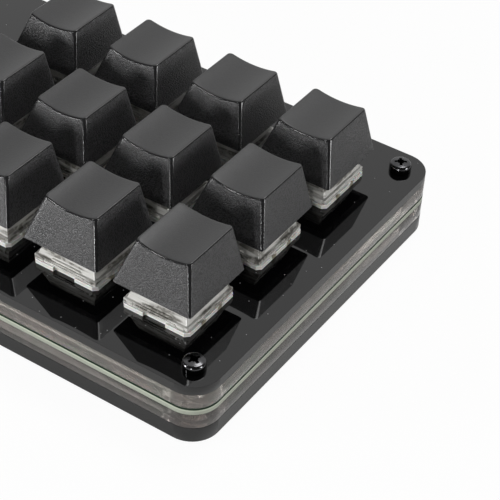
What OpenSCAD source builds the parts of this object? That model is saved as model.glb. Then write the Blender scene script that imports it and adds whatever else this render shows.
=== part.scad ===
// Macro keypad: a stacked acrylic case with twelve mechanical keys and two push knobs.
// Millimetres, +X to the user's right, +Y to the back, +Z up.
// The origin is the middle of the case's footprint, on the surface that the feet stand on.

/* [Key field] */
// Distance between neighbouring key columns
pitch_x = 21.5; // [20:0.1:24]
// Distance between neighbouring key rows
pitch_y = 23.9; // [20:0.1:26]

/* [Case] */
// From the right column's middle to the right edge
margin_right = 18.6; // [16:0.1:24]
// From the knob column's middle to the left edge
margin_left = 18.2; // [15:0.1:24]
// From the front row's middle to the front edge
margin_front = 18.7; // [17:0.1:24]
// From the back row's middle to the back edge
margin_back = 19.4; // [16:0.1:24]
// Radius of the case's upright corners
corner_radius = 6; // [5:0.5:10]
// Thickness of the black top plate
top_plate_t = 2; // [1.7:0.1:3]
// Room between the switches and the circuit board, which sets the upper clear sheet's thickness
switch_board_gap = 0.4; // [0.2:0.1:2]
// Thickness of the circuit board
board_t = 1.6; // [1.2:0.1:2]
// Thickness of the clear sheet below the circuit board
lower_spacer_t = 3.5; // [3.5:0.1:6]
// Thickness of the black bottom plate
bottom_plate_t = 3.5; // [3:0.1:5]
// Width of the clear sheets' frames
frame_wall = 5.5; // [4:0.1:7]
// Corner radius of the clear sheets' windows
window_radius = 3; // [1:0.5:4]

/* [Case screws] */
// From the case's edges to each corner screw's middle
screw_inset = 5.6; // [5:0.1:6.5]
// Diameter of the screws' shanks
screw_d = 2.5; // [2:0.1:3]
// Diameter of the upper screws' heads
screw_head_d = 4.7; // [4:0.1:5.5]
// Height of the upper screws' heads
screw_head_h = 2.1; // [1.5:0.1:2.5]
// Outer diameter of the threaded inserts
insert_d = 4.6; // [4:0.1:5.2]
// Diameter of the rubber feet
foot_d = 8; // [6:0.5:10]
// Height of the rubber feet
foot_h = 1.6; // [1:0.1:3]
// From the case's edges to each foot's middle
foot_inset = 14; // [13:0.5:18]

/* [Switches] */
// Side of the square plate cut-out
cutout_side = 14; // [13.9:0.1:14.2]
// Side of the housing's flange, which rests on the plate
flange_side = 15.6; // [15:0.1:16]
// Thickness of the flange
flange_t = 1; // [0.8:0.1:1.2]
// Depth of the lower housing under the plate's top
housing_depth = 5; // [4.6:0.1:5.2]
// Height of the upper housing's top above the plate
housing_height = 6.6; // [6.2:0.1:7]
// Side of the upper housing's top
housing_top_side = 10.6; // [10.4:0.1:11]
// Diameter of the lower housing's centre post
post_d = 3.9; // [3.6:0.1:4]
// Length of the centre post under the housing
post_length = 3.3; // [3:0.1:3.5]
// How far a key goes down
key_travel = 4; // [3:0.1:4]
// Outer diameter of a key's return spring
spring_d = 4.4; // [4:0.1:4.6]
// Thickness of the spring's wall
spring_wall = 0.5; // [0.3:0.1:0.6]
// Length of each arm of the stem's cross
cross_length = 4; // [3.9:0.05:4.1]
// Thickness of each arm of the stem's cross
cross_t = 1.2; // [1.1:0.05:1.3]
// Height of the stem's cross above the housing
cross_h = 3.6; // [3.4:0.1:3.8]

/* [Keycaps] */
// Side of a keycap's square base
cap_side = 18.1; // [17.9:0.1:18.4]
// Height of a keycap's upper corners over its base
cap_height = 9.5; // [9:0.1:11]
// How far each side face leans in
cap_lean_side = 2.9; // [2.5:0.1:3.2]
// How far the front face leans in
cap_lean_front = 3.75; // [3:0.05:4]
// How far the back face leans in
cap_lean_back = 0.25; // [0.2:0.05:1]
// Depth of the trough in a keycap's top
dish_depth = 0.9; // [0.5:0.1:1.1]
// Thickness of a keycap's walls
cap_wall = 1.4; // [1.2:0.1:1.5]
// Height of a keycap's base over the plate
cap_base_height = 6.2; // [6:0.1:6.5]

/* [Knobs] */
// From the left key column's middle to the knobs' middle
knob_gap = 24; // [21:0.1:26]
// Diameter of the knobs
knob_d = 17; // [14:0.5:18]
// Height of the knobs
knob_h = 14.5; // [14:0.5:17]
// How far a knob goes down when it is pushed
knob_travel = 0.5; // [0.3:0.1:0.6]
// Diameter of the encoders' shafts
shaft_d = 6; // [5.8:0.1:6.1]
// Height of the shafts' tops over the circuit board
shaft_height = 20; // [19:0.5:20.5]
// Width of the encoders' metal cases, left to right
encoder_w = 11.7; // [11.5:0.1:12]
// Depth of the encoders' metal cases, front to back
encoder_depth = 12.2; // [12:0.1:12.5]
// Height of the encoders' metal cases over the circuit board
encoder_h = 6.5; // [6:0.1:6.8]
// Outer diameter of the encoders' bushings
bushing_d = 7; // [6.8:0.1:7.2]
// Height of the encoders' bushings over their cases
bushing_h = 5; // [4:0.1:5]

/* [Hidden] */
$fn = 64;
// Facets of the small cylinders that a hull joins
hull_fn = 32;
// Running, sliding and seating clearances
fit_gap = 0.05;
slide_gap = 0.1;
seat_gap = 0.3;
// How far a cut runs past a face, and how far joined solids overlap
cut_over = 0.5;
weld = 0.2;

// Each key has nodes of its own, so these counts stay as they are
key_rows = 3;
key_columns = 4;
key_count = key_rows * key_columns;
knob_count = 2;

case_w = margin_left + knob_gap + pitch_x * (key_columns - 1) + margin_right;
case_d = margin_front + pitch_y * (key_rows - 1) + margin_back;
upper_spacer_t = housing_depth + switch_board_gap - top_plate_t;
z_bottom = foot_h;
z_lower = z_bottom + bottom_plate_t;
z_board = z_lower + lower_spacer_t;
z_upper = z_board + board_t;
z_plate = z_upper + upper_spacer_t;
z_top = z_plate + top_plate_t;
z_cap = z_top + cap_base_height;

// Places of the keys, numbered from the back left key along each row
function key_x(n) = case_w / 2 - margin_right - pitch_x * (key_columns - 1 - n % key_columns);
function key_y(n) = case_d / 2 - margin_back - pitch_y * floor(n / key_columns);
knob_x = -case_w / 2 + margin_left;
knob_first_y = -case_d / 2 + margin_front + pitch_y / 2;
function knob_y(n) = knob_first_y + n * pitch_y;
screw_x = case_w / 2 - screw_inset;
screw_y = case_d / 2 - screw_inset;

// Screws, inserts and their bosses
screw_hole_d = screw_d + 2 * slide_gap;
boss_r = 5;
insert_hole_d = insert_d + 2 * fit_gap;
upper_screw_reach = 2.2;
lower_screw_reach = 0.9;
sunk_head_d = 4.7;
sunk_head_h = 1.4;
sunk_recess_depth = 0.7;
recess_length = 2.7;
recess_width = 0.75;
recess_depth = 1.2;
head_dome_r = 3.4;

// Switch housings
housing_wall = 1.45;
floor_t = 1;
roof_t = 0.8;
body_side = cutout_side - slide_gap;
cavity_side = body_side - 2 * housing_wall;
flange_corner = 0.85;
flange_notch_w = 5.2;
flange_notch_depth = 0.7;
latch_w = 1.1;
latch_offset = 3;
latch_floor = 0.35;
skirt_side = 14.9;
skirt_h = 1;
skirt_step = 0.3;
upper_wall = 0.6;
upper_cavity_side = housing_top_side - 2 * upper_wall;
mouth_w = 7.4;
mouth_d = 6.2;
pin_bore_d = 2.2;
bore_floor_t = 0.5;
post_end = housing_depth + post_length;

// Stem and spring
stem_side_gap = 0.2;
stem_slider_w = upper_cavity_side - 2 * stem_side_gap;
stem_slider_d = 7;
stem_low = 1.5;
stem_shoulder = housing_height - roof_t - slide_gap;
stem_top_t = 0.7;
stem_pin_d = pin_bore_d - 3 * slide_gap;
stem_pin_gap = 0.4;
stem_pin_end = -post_end + bore_floor_t + key_travel + stem_pin_gap;
spring_seat = stem_shoulder - stem_top_t;
spring_room_d = spring_d + 5 * slide_gap;

// Contacts: a low one and a tall one, at the usual footprint
contact_w = 1;
contact_t = 0.4;
low_contact_x = -3.81;
low_contact_y = 2.54;
tall_contact_x = 2.54;
tall_contact_y = 5.08;
low_contact_rise = 0.2;
tall_contact_gap = 0.5;
low_contact_top = -housing_depth + floor_t + low_contact_rise;
tall_contact_top = flange_t - tall_contact_gap;
contact_places = [[low_contact_x, low_contact_y], [tall_contact_x, tall_contact_y]];
contact_tops = [low_contact_top, tall_contact_top];
board_pin_hole_d = 1.5;

// Lamps under the keys
lamp_y = -5.08;
lamp_w = 3.2;
lamp_d = 2.8;
lamp_wing_w = 5.2;
lamp_wing_d = 1.8;
lamp_wing_t = 0.5;

// Keycaps
cap_base_r = 0.6;
cap_top_r = 1.2;
cap_rim = 0.3;
cap_top_t = 1.4;
cap_roof = cap_height - dish_depth - cap_top_t;
cap_top_w = cap_side - 2 * cap_lean_side;
cap_top_front = -cap_side / 2 + cap_lean_front;
cap_top_back = cap_side / 2 - cap_lean_back;
dish_half = cap_top_w / 2 + cap_rim;
dish_r = (pow(dish_half, 2) + pow(dish_depth, 2)) / (2 * dish_depth);
socket_d = 5.5;
socket_start = housing_height - cap_base_height + slide_gap;
socket_slot_top = housing_height + cross_h - cap_base_height;

// Encoders, with heights over the circuit board
base_t = 0.6;
base_step = 0.6;
case_skin = 0.5;
lug_w = 2;
lug_reach = 1;
leg_w = 0.8;
leg_t = 0.4;
leg_reach = 1.2;
leg_hole_d = 1.1;
leg_spacing = 2.5;
front_leg_out = 1.4;
back_leg_out = 0.9;
front_leg_y = -encoder_depth / 2 - front_leg_out;
back_leg_y = encoder_depth / 2 + back_leg_out;
plunger_d = 4;
plunger_stub_d = 2;
plunger_t = 1.1;
plunger_low = base_t + base_step + knob_travel + slide_gap;
stub_hole_low = base_t / 2;
rotor_d = 9.6;
rotor_t = 1.6;
rotor_low = plunger_low + plunger_t;
flat_depth = 1.5;
knob_lift = 1.2;
knob_low = encoder_h + knob_lift;
knob_room = 1;
knob_recess_d = bushing_d + 2 * knob_room;
knob_recess_top = encoder_h + bushing_h + knob_travel + seat_gap;
knob_top = knob_low + knob_h;
knob_edge = 0.9;
flute_count = 30;
flute_d = 0.9;
grip_skirt_h = 2.6;
mark_w = 0.9;
mark_depth = 0.4;
mark_length = 4.2;

// Parts under the circuit board
usb_w = 8.9;
usb_h = 3.16;
usb_depth = 7.3;
usb_corner = 1.1;
usb_skin = 0.3;
tongue_w = 6.6;
tongue_length = 4.6;
tongue_t = 0.7;
usb_x = (knob_x + key_x(0)) / 2;
chip_w = 3.9;
chip_h = 1.5;
chip_y = pitch_y / 2;
chip_leg_count = 8;
chip_leg_pitch = 1.27;
chip_end = 0.505;
chip_length = chip_leg_pitch * (chip_leg_count - 1) + 2 * chip_end;
chip_leg_length = 1.1;
chip_leg_w = 0.42;
chip_leg_t = 0.25;
diode_w = 1.6;
diode_length = 2.7;
diode_h = 1.1;
diode_x = 6.2;
diode_y = -1.2;
small_w = 0.8;
small_length = 1.6;
small_h = 0.6;
small_x = 1.4;
small_step = 1.8;

// A box centred in X and Y that stands from one height to another
module block(w, d, low, high) {
    translate([-w / 2, -d / 2, low]) cube([w, d, high - low]);
}

module rod(d, low, high) {
    translate([0, 0, low]) cylinder(d = d, h = high - low);
}

// A flat outline with round corners
module round_rectangle(w, d, r) {
    square([w - 2 * r, d], center = true);
    square([w, d - 2 * r], center = true);
    for (x = [-1, 1], y = [-1, 1])
        translate([x * (w / 2 - r), y * (d / 2 - r)]) circle(r = r);
}

module sheet(t) {
    linear_extrude(height = t) round_rectangle(case_w, case_d, corner_radius);
}

module at_corners(x, y) {
    for (sx = [-1, 1], sy = [-1, 1]) translate([sx * x, sy * y, 0]) children();
}

module at_keys(z) {
    for (n = [0 : key_count - 1]) translate([key_x(n), key_y(n), z]) children();
}

module at_knobs(z) {
    for (n = [0 : knob_count - 1]) translate([knob_x, knob_y(n), z]) children();
}

// Case
module bottom_plate() {
    color("#232325") translate([0, 0, z_bottom]) difference() {
        sheet(bottom_plate_t);
        at_corners(screw_x, screw_y) {
            rod(screw_hole_d, -cut_over, bottom_plate_t + cut_over);
            sunk_cone(slide_gap);
        }
    }
}

// The cone of a sunk screw head, wider by a gap all round
module sunk_cone(gap) {
    cylinder(d1 = sunk_head_d + 2 * gap, d2 = screw_d + 2 * gap, h = sunk_head_h);
}

module spacer_frame(t) {
    difference() {
        sheet(t);
        difference() {
            translate([0, 0, -cut_over]) linear_extrude(height = t + 2 * cut_over)
                round_rectangle(case_w - 2 * frame_wall, case_d - 2 * frame_wall, window_radius);
            at_corners(screw_x, screw_y)
                translate([0, 0, -cut_over]) cylinder(r = boss_r, h = t + 2 * cut_over);
        }
    }
}

module lower_spacer() {
    color("#9a948c", 0.5) translate([0, 0, z_lower]) difference() {
        spacer_frame(lower_spacer_t);
        at_corners(screw_x, screw_y)
            rod(insert_hole_d, -cut_over, lower_spacer_t + cut_over);
        translate([usb_x, case_d / 2, 0])
            block(usb_w + 2 * seat_gap, 2 * (usb_depth + seat_gap), -cut_over, lower_spacer_t + cut_over);
    }
}

module upper_spacer() {
    color("#9a948c", 0.5) translate([0, 0, z_upper]) difference() {
        spacer_frame(upper_spacer_t);
        at_corners(screw_x, screw_y)
            rod(screw_hole_d, -cut_over, upper_spacer_t + cut_over);
    }
}

module circuit_board() {
    color("#2e5a3c") translate([0, 0, z_board]) difference() {
        sheet(board_t);
        at_corners(screw_x, screw_y) rod(screw_hole_d, -cut_over, board_t + cut_over);
        at_keys(0) board_key_holes();
        at_knobs(0) board_encoder_holes();
    }
}

module board_key_holes() {
    rod(post_d + 2 * fit_gap, -cut_over, board_t + cut_over);
    for (p = contact_places)
        translate([p[0], p[1], 0]) rod(board_pin_hole_d, -cut_over, board_t + cut_over);
    translate([0, lamp_y, 0])
        block(lamp_w + 2 * slide_gap, lamp_d + 2 * slide_gap, -cut_over, board_t + cut_over);
}

module board_encoder_holes() {
    for (i = [-1, 0, 1])
        translate([i * leg_spacing, front_leg_y, 0]) rod(leg_hole_d, -cut_over, board_t + cut_over);
    for (i = [-1, 1])
        translate([i * leg_spacing, back_leg_y, 0]) rod(leg_hole_d, -cut_over, board_t + cut_over);
    for (s = [-1, 1]) translate([s * (encoder_w - case_skin) / 2, 0, 0])
        block(case_skin + 2 * slide_gap, lug_w + 2 * slide_gap, -cut_over, board_t + cut_over);
}

module top_plate() {
    color("#0d0d0f") translate([0, 0, z_plate]) difference() {
        sheet(top_plate_t);
        at_corners(screw_x, screw_y) rod(screw_hole_d, -cut_over, top_plate_t + cut_over);
        at_keys(0) block(cutout_side, cutout_side, -cut_over, top_plate_t + cut_over);
        at_knobs(0) block(encoder_w + 2 * seat_gap, encoder_depth + 2 * seat_gap, -cut_over,
            top_plate_t + cut_over);
    }
}

module rubber_feet() {
    color("#1c1c1c") at_corners(case_w / 2 - foot_inset, case_d / 2 - foot_inset) rod(foot_d, 0, foot_h);
}

// Case screws
module pan_head() {
    difference() {
        intersection() {
            rod(screw_head_d, 0, screw_head_h);
            translate([0, 0, screw_head_h - head_dome_r]) sphere(r = head_dome_r);
        }
        for (turn = [0, 90]) rotate([0, 0, turn])
            block(recess_length, recess_width, screw_head_h - recess_depth, screw_head_h + cut_over);
    }
}

module top_screws() {
    color("#17171a") at_corners(screw_x, screw_y) translate([0, 0, z_top]) {
        pan_head();
        rod(screw_d, z_board - upper_screw_reach - z_top, weld);
    }
}

module threaded_inserts() {
    color("#c9c6bd") at_corners(screw_x, screw_y) translate([0, 0, z_lower]) difference() {
        rod(insert_d, 0, lower_spacer_t);
        rod(screw_d + 2 * fit_gap, -cut_over, lower_spacer_t + cut_over);
    }
}

module bottom_screws() {
    color("#17171a") at_corners(screw_x, screw_y) translate([0, 0, z_bottom]) difference() {
        union() {
            sunk_cone(0);
            rod(screw_d, 0, bottom_plate_t + lower_screw_reach);
        }
        for (turn = [0, 90]) rotate([0, 0, turn])
            block(recess_length, recess_width, -cut_over, sunk_recess_depth);
    }
}

// Switches, with heights over the plate's top
module flange_outline() {
    h = flange_side / 2;
    c = flange_corner;
    n = flange_notch_w / 2;
    m = flange_notch_depth;
    polygon([[-h, -h + c], [-h + c, -h], [-n, -h], [-n, -h + m], [n, -h + m], [n, -h], [h - c, -h],
        [h, -h + c], [h, h - c], [h - c, h], [n, h], [n, h - m], [-n, h - m], [-n, h], [-h + c, h],
        [-h, h - c]]);
}

module lower_housing() {
    difference() {
        union() {
            difference() {
                linear_extrude(height = flange_t) flange_outline();
                for (s = [-1, 1], t = [-1, 1])
                    translate([s * flange_side / 2, t * latch_offset, 0])
                        block(flange_notch_depth, latch_w, latch_floor, flange_t + cut_over);
            }
            block(body_side, body_side, -housing_depth, weld);
            rod(post_d, -post_end, -housing_depth + weld);
        }
        block(cavity_side, cavity_side, -housing_depth + floor_t, flange_t + cut_over);
        rod(pin_bore_d, -post_end + bore_floor_t, 0);
        for (p = contact_places) translate([p[0], p[1], 0])
            block(contact_w + 2 * fit_gap, contact_t + 2 * fit_gap, -housing_depth - cut_over, 0);
    }
}

module switch_lower_housings() {
    color("#e6e4dc") at_keys(z_top) lower_housing();
}

// A square tower that narrows upwards, cut from two leaning slabs
module tower(base, top, low, high) {
    intersection() {
        rotate([90, 0, 0]) translate([0, 0, -base / 2]) linear_extrude(height = base)
            tower_outline(base, top, low, high);
        rotate([90, 0, 90]) translate([0, 0, -base / 2]) linear_extrude(height = base)
            tower_outline(base, top, low, high);
    }
}

module tower_outline(base, top, low, high) {
    polygon([[-base / 2, low], [base / 2, low], [top / 2, high], [-top / 2, high]]);
}

module upper_housing() {
    difference() {
        union() {
            block(skirt_side, skirt_side, flange_t, flange_t + skirt_h);
            tower(skirt_side - skirt_step, housing_top_side, flange_t, housing_height);
        }
        block(upper_cavity_side, upper_cavity_side, flange_t - cut_over, housing_height - roof_t);
        block(mouth_w, mouth_d, flange_t, housing_height + cut_over);
    }
}

module switch_upper_housings() {
    color("#f2f1ec", 0.7) at_keys(z_top) upper_housing();
}

module switch_contacts() {
    color("#c8963c") at_keys(z_top) for (i = [0, 1])
        translate([contact_places[i][0], contact_places[i][1], 0])
            block(contact_w, contact_t, -post_end, contact_tops[i]);
}

module key_lamps() {
    color("#f4f2e6") at_keys(z_board) translate([0, lamp_y, 0]) {
        block(lamp_w, lamp_d, -lamp_wing_t, board_t - slide_gap);
        block(lamp_wing_w, lamp_wing_d, -lamp_wing_t, 0);
    }
}

module stem(n) {
    color("#2f6fb5") translate([key_x(n), key_y(n), z_top]) {
        difference() {
            union() {
                block(stem_slider_w, stem_slider_d, stem_low, stem_shoulder);
                block(mouth_w - 2 * slide_gap, mouth_d - 2 * slide_gap, stem_shoulder - weld,
                    housing_height);
            }
            rod(spring_room_d, stem_low - cut_over, spring_seat);
        }
        block(cross_length, cross_t, housing_height - weld, housing_height + cross_h);
        block(cross_t, cross_length, housing_height - weld, housing_height + cross_h);
        rod(stem_pin_d, stem_pin_end, spring_seat + weld);
    }
}

// A spring is a plain sleeve here, of the coil's outer size
module key_spring(n) {
    color("#b9bcc2") translate([key_x(n), key_y(n), z_top]) difference() {
        rod(spring_d, -housing_depth + floor_t, spring_seat);
        rod(spring_d - 2 * spring_wall, -housing_depth, spring_seat + cut_over);
    }
}

// Keycaps, with heights over their base
module cap_corner(x, y, r, low, high) {
    translate([x, y, low]) cylinder(r = r, h = high - low, $fn = hull_fn);
}

module cap_outer() {
    b = cap_side / 2 - cap_base_r;
    t = cap_top_w / 2 - cap_top_r;
    hull() {
        for (x = [-1, 1], y = [-1, 1]) cap_corner(x * b, y * b, cap_base_r, 0, cap_rim);
        for (x = [-1, 1], y = [cap_top_front + cap_top_r, cap_top_back - cap_top_r])
            cap_corner(x * t, y, cap_top_r, cap_height - cap_rim, cap_height);
    }
}

module cap_hollow() {
    share = cap_roof / cap_height;
    b = cap_side / 2 - cap_wall;
    low_w = cap_side - 2 * cap_wall;
    top_w = low_w - 2 * cap_lean_side * share;
    front = -b + cap_lean_front * share;
    back = b - cap_lean_back * share;
    hull() {
        translate([-low_w / 2, -b, -cut_over]) cube([low_w, 2 * b, cut_over]);
        translate([-top_w / 2, front, cap_roof - cap_rim]) cube([top_w, back - front, cap_rim]);
    }
}

module keycap(n) {
    color("#3a3a3c") translate([key_x(n), key_y(n), z_cap]) difference() {
        cap_outer();
        translate([0, 0, cap_height - dish_depth + dish_r]) rotate([90, 0, 0])
            cylinder(r = dish_r, h = 2 * cap_side, center = true, $fn = 2 * $fn);
        difference() {
            cap_hollow();
            rod(socket_d, socket_start, cap_height);
        }
        block(cross_length + 2 * fit_gap, cross_t + 2 * fit_gap, -cut_over, socket_slot_top);
        block(cross_t + 2 * fit_gap, cross_length + 2 * fit_gap, -cut_over, socket_slot_top);
    }
}

// Encoders, with heights over the circuit board
module encoder_case() {
    inner_w = encoder_w - 2 * case_skin;
    inner_d = encoder_depth - 2 * case_skin;
    difference() {
        union() {
            block(encoder_w, encoder_depth, base_t, encoder_h);
            rod(bushing_d, encoder_h - weld, encoder_h + bushing_h);
        }
        block(inner_w, inner_d, base_t - cut_over, encoder_h - case_skin);
        rod(shaft_d + 2 * fit_gap, base_t, encoder_h + bushing_h + cut_over);
    }
    for (s = [-1, 1]) translate([s * (encoder_w - case_skin) / 2, 0, 0])
        block(case_skin, lug_w, -board_t - lug_reach, base_t + weld);
}

module encoder_cases() {
    color("#b4b6ba") at_knobs(z_upper) encoder_case();
}

module encoder_leg(x, y) {
    inner = sign(y) * (encoder_depth / 2 - leg_t);
    outer = y + sign(y) * leg_t / 2;
    translate([x - leg_w / 2, min(inner, outer), base_t - leg_t])
        cube([leg_w, abs(outer - inner), leg_t]);
    translate([x, y, 0]) block(leg_w, leg_t, -board_t - leg_reach, base_t);
}

module encoder_base() {
    difference() {
        union() {
            block(encoder_w, encoder_depth, 0, base_t);
            block(encoder_w - 2 * case_skin - 2 * fit_gap, encoder_depth - 2 * case_skin - 2 * fit_gap,
                base_t - weld, base_t + base_step);
        }
        rod(plunger_stub_d + 2 * fit_gap, stub_hole_low, base_t + base_step + cut_over);
        for (s = [-1, 1]) translate([s * (encoder_w - case_skin) / 2, 0, 0])
            block(case_skin + cut_over, lug_w + 2 * fit_gap, -cut_over, base_t + cut_over);
    }
    for (i = [-1, 0, 1]) encoder_leg(i * leg_spacing, front_leg_y);
    for (i = [-1, 1]) encoder_leg(i * leg_spacing, back_leg_y);
}

module encoder_bases() {
    color("#3c3a36") at_knobs(z_upper) encoder_base();
}

module encoder_plunger(n) {
    color("#d8d2c4") translate([knob_x, knob_y(n), z_upper]) {
        rod(plunger_d, plunger_low, plunger_low + plunger_t);
        rod(plunger_stub_d, stub_hole_low + knob_travel + fit_gap, plunger_low + weld);
    }
}

module encoder_shaft(n) {
    color("#c4c6ca") translate([knob_x, knob_y(n), z_upper]) {
        rod(rotor_d, rotor_low, rotor_low + rotor_t);
        difference() {
            rod(shaft_d, rotor_low + rotor_t - weld, shaft_height);
            translate([-shaft_d, shaft_d / 2 - flat_depth, knob_recess_top])
                cube([2 * shaft_d, shaft_d, shaft_height]);
        }
    }
}

module knob_profile() {
    r = knob_d / 2;
    rotate_extrude() polygon([[0, knob_low], [r - knob_edge, knob_low], [r, knob_low + knob_edge],
        [r, knob_top - knob_edge], [r - knob_edge, knob_top], [0, knob_top]]);
}

module knob(n) {
    bore_r = shaft_d / 2 + fit_gap;
    flat_y = shaft_d / 2 - flat_depth + fit_gap;
    color("#202022") translate([knob_x, knob_y(n), z_upper]) difference() {
        knob_profile();
        rod(knob_recess_d, knob_low - cut_over, knob_recess_top);
        difference() {
            rod(2 * bore_r, knob_recess_top - cut_over, shaft_height);
            translate([-shaft_d, flat_y, knob_recess_top])
                cube([2 * shaft_d, shaft_d, shaft_height]);
        }
        for (i = [0 : flute_count - 1]) rotate([0, 0, 360 * i / flute_count])
            translate([knob_d / 2, 0, 0]) rod(flute_d, knob_low + grip_skirt_h, knob_top + cut_over);
        translate([-mark_w / 2, knob_d / 2 - mark_length, knob_top - mark_depth])
            cube([mark_w, knob_d, mark_depth + cut_over]);
    }
}

// Parts under the circuit board
module usb_outline(shrink) {
    round_rectangle(usb_w - 2 * shrink, usb_h - 2 * shrink, usb_corner - shrink);
}

module usb_socket() {
    color("#c2c4c8") translate([usb_x, case_d / 2 - usb_depth, z_board - usb_h / 2])
        rotate([-90, 0, 0]) {
            difference() {
                linear_extrude(height = usb_depth) usb_outline(0);
                translate([0, 0, usb_skin]) linear_extrude(height = usb_depth) usb_outline(usb_skin);
            }
            block(tongue_w, tongue_t, 0, tongue_length);
        }
}

module controller_chip() {
    color("#1d1d1f") translate([usb_x, chip_y, z_board]) {
        block(chip_w, chip_length, -chip_h, -chip_leg_t / 2);
        for (s = [-1, 1], i = [0 : chip_leg_count - 1])
            translate([s * (chip_w + chip_leg_length - weld) / 2,
                (i - (chip_leg_count - 1) / 2) * chip_leg_pitch, 0])
                    block(chip_leg_length + weld, chip_leg_w, -chip_leg_t, 0);
    }
}

module board_components() {
    color("#4a4238") {
        at_keys(z_board) translate([diode_x, diode_y, 0]) block(diode_w, diode_length, -diode_h, 0);
        for (s = [-1, 1], t = [-1, 1], i = [1, 2])
            translate([usb_x + s * small_x, chip_y + t * (chip_length / 2 + i * small_step), z_board])
                block(small_length, small_w, -small_h, 0);
    }
}

bottom_plate();
lower_spacer();
circuit_board();
upper_spacer();
top_plate();
rubber_feet();
top_screws();
threaded_inserts();
bottom_screws();
switch_lower_housings();
switch_upper_housings();
switch_contacts();
key_lamps();
usb_socket();
controller_chip();
board_components();
encoder_cases();
encoder_bases();
for (n = [0 : key_count - 1]) {
    keycap(n);
    stem(n);
    key_spring(n);
}
encoder_plunger(0);  // encoder_plunger_front
encoder_plunger(1);  // encoder_plunger_back
encoder_shaft(0);  // encoder_shaft_front
encoder_shaft(1);  // encoder_shaft_back
knob(0);  // knob_front
knob(1);  // knob_back
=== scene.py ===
# %% [markdown]
# # A macro keypad with knobs
#
# The pad is a stack of acrylic sheets with a circuit board in the middle, bolted together at
# its corners. Mechanical switches snap into the top sheet and carry black keycaps, and two
# rotary encoders carry knobs. The exact solids come from the construction model. This lesson
# dresses them: it gives them edges, threads, grain and light.

import math

import bmesh
import bpy
from mathutils import Matrix, Vector


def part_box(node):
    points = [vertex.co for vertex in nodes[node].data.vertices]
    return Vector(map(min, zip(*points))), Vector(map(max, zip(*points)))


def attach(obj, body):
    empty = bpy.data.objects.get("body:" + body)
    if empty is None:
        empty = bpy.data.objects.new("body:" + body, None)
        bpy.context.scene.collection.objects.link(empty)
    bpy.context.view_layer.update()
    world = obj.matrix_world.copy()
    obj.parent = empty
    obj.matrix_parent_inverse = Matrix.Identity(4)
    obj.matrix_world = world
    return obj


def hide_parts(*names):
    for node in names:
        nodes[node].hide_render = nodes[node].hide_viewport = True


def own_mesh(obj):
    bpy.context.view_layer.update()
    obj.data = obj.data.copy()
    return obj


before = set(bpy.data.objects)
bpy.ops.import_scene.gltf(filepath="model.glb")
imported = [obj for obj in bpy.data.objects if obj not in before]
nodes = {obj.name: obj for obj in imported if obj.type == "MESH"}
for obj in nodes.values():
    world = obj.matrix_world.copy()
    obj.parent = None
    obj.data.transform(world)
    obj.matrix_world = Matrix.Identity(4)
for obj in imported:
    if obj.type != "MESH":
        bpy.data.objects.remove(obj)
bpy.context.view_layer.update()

# %% [markdown]
# ## Sizes that repeat
#
# Blender works in metres, and a maker thinks of a keypad in millimetres. All the shapes below
# are worked out in millimetres and shrunk by MM once, when a mesh is made. The places of the
# keys are not typed again: they come from the boxes of the solids that the frame holds.

# %% Read the places of keys, knobs and screws from the frame
MM = 0.001
KEY_COUNT = 12
INSERT_R = 2.3


def box_mm(node):
    low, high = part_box(node)
    return Vector(low) / MM, Vector(high) / MM


def middle_mm(node):
    low, high = box_mm(node)
    return (low + high) / 2


keys = {n: middle_mm(f"key_spring_{n}") for n in range(1, KEY_COUNT + 1)}
knobs = {side: middle_mm(f"knob_{side}") for side in ("front", "back")}
plate_high = box_mm("top_plate")[1]
plate_top = plate_high.z
board_low, board_high = box_mm("circuit_board")
insert_low, insert_high = box_mm("threaded_inserts")
screw_x = insert_high.x - INSERT_R
screw_y = insert_high.y - INSERT_R
corners = [(sx * screw_x, sy * screw_y) for sx in (-1, 1) for sy in (-1, 1)]
print("plate top at", round(plate_top, 2), "mm, screws at", round(screw_x, 2), round(screw_y, 2))

# %% [markdown]
# ## Camera
#
# The picture is a close view from the front right, about forty degrees above the table. A long
# lens keeps the keycaps' edges nearly parallel. The camera is placed by its distance and two
# angles from a point beside the front right key, and it leans over by about three degrees.

# %% Place the camera
AZIMUTH, ELEVATION, LEAN = 31.89, 39.90, 3.32
DISTANCE = 327.5
TARGET = Vector((50.60, -10.05, 21.8))
FOCAL_PX, FRAME_PX, SENSOR = 1709.3, 500, 36.0


def towards(azimuth, elevation):
    """The direction from the pad to something: azimuth 0 is the front, 90 the right."""
    a, e = math.radians(azimuth), math.radians(elevation)
    return Vector((math.sin(a) * math.cos(e), -math.cos(a) * math.cos(e), math.sin(e)))


def add_object(name, data):
    made = bpy.data.objects.new(name, data)
    bpy.context.scene.collection.objects.link(made)
    return made


turn, lean = math.radians(AZIMUTH), math.radians(LEAN)
back = towards(AZIMUTH, ELEVATION)
level = Vector((math.cos(turn), math.sin(turn), 0))
rise = back.cross(level)
right = math.cos(lean) * level + math.sin(lean) * rise
up = -math.sin(lean) * level + math.cos(lean) * rise
camera = add_object("camera", bpy.data.cameras.new("camera"))
camera.data.sensor_width = SENSOR
camera.data.lens = FOCAL_PX / FRAME_PX * SENSOR
camera.data.clip_start, camera.data.clip_end = 0.01, 20
axes = Matrix((right, up, back)).transposed().to_4x4()
camera.matrix_world = Matrix.Translation((TARGET + DISTANCE * back) * MM) @ axes
bpy.context.scene.camera = camera
bpy.context.scene.view_settings.view_transform = "Standard"
print("lens", round(camera.data.lens, 1), "mm at", [round(v, 3) for v in camera.location])

# %% [markdown]
# ## Shader maths as plain expressions
#
# Materials are node trees, and a tree is easier to read as a formula. Wire wraps one output
# socket: adding, subtracting, multiplying or comparing Wires adds Math nodes, or Vector Math
# nodes where a colour or a vector is involved, since a Math node would turn a colour grey. Every
# other node comes from Nodes.node, which takes the node's type, its settings and its sockets.

# %% A wire


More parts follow.
